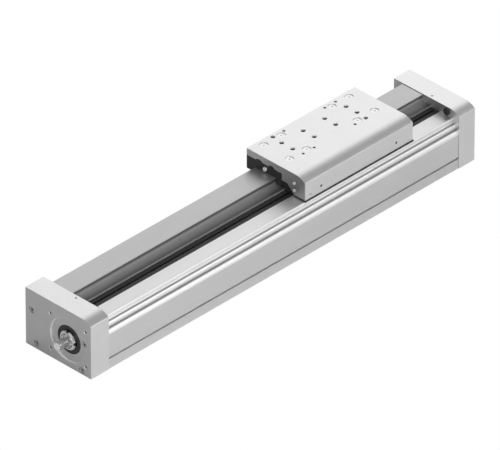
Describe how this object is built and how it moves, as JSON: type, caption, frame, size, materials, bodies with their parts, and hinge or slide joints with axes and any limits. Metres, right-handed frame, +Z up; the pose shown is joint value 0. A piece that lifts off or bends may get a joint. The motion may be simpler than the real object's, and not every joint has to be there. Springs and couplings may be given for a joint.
{
  "type": "ball screw linear axis",
  "caption": "Linear axis in an aluminium profile: a carriage on a wide side guide rail, driven by a ball screw with a shaft end and motor flange on one cap.",
  "frame": {"origin": "on the mounting face, under the middle of the whole length with the shaft end included and midway across the caps", "axes": "+X along the axis from the drive end to the far end, +Y to the guide rail's side, +Z up through the carriage"},
  "size_m": [0.7308, 0.1186, 0.1084],
  "materials": {
    "anodised_profile": "satin anodised extrusion",
    "machined_aluminium": "bead blasted and anodised",
    "ground_rail": "ground",
    "block_steel": "ground",
    "bright_steel": "turned and polished",
    "screw_steel": "zinc plated",
    "black_lip": "matt",
    "black_moulding": "matt",
    "black_rubber": "matt"
  },
  "bodies": {
    "frame": {"profile": "anodised_profile", "guide_rail": "ground_rail", "rail_cover_strip": "ground_rail", "slot_lip_left": "black_lip", "slot_lip_right": "black_lip", "drive_cap": "machined_aluminium", "drive_cap_screws": "screw_steel", "end_cap": "machined_aluminium", "end_cap_screws": "screw_steel", "cap_grub_screws": "screw_steel", "drive_bearing_outer": "bright_steel", "bearing_cover_ring": "black_moulding", "support_bearing_outer": "bright_steel", "drive_buffer": "black_rubber", "end_buffer": "black_rubber"},
    "carriage": {"carriage_plate": "machined_aluminium", "front_runner_block": "block_steel", "rear_runner_block": "block_steel", "front_block_caps": "black_moulding", "rear_block_caps": "black_moulding", "front_end_moulding": "black_moulding", "rear_end_moulding": "black_moulding", "skirt_seal": "black_rubber", "front_slot_wiper": "black_moulding", "rear_slot_wiper": "black_moulding", "block_screws": "screw_steel", "moulding_screws": "screw_steel", "port_plugs": "screw_steel", "ball_nut": "block_steel", "nut_bracket": "machined_aluminium"},
    "spindle": {"ball_screw": "bright_steel", "lock_nut": "bright_steel", "drive_bearing_inner": "bright_steel", "support_bearing_inner": "bright_steel"}
  },
  "joints": [
    {"name": "carriage_slide", "type": "slide", "parent": "frame", "child": "carriage", "axis": [1, 0, 0], "range_m": [-0.3685, 0.0712]},
    {"name": "spindle_turn", "type": "hinge", "parent": "frame", "child": "spindle", "pos_m": [0, -0.0174, 0.0407], "axis": [1, 0, 0], "range_deg": [-1030, 5310]}
  ],
  "couplings": [
    {"joint": "spindle_turn", "follows": "carriage_slide", "rad_per_m": -251.33}
  ]
}
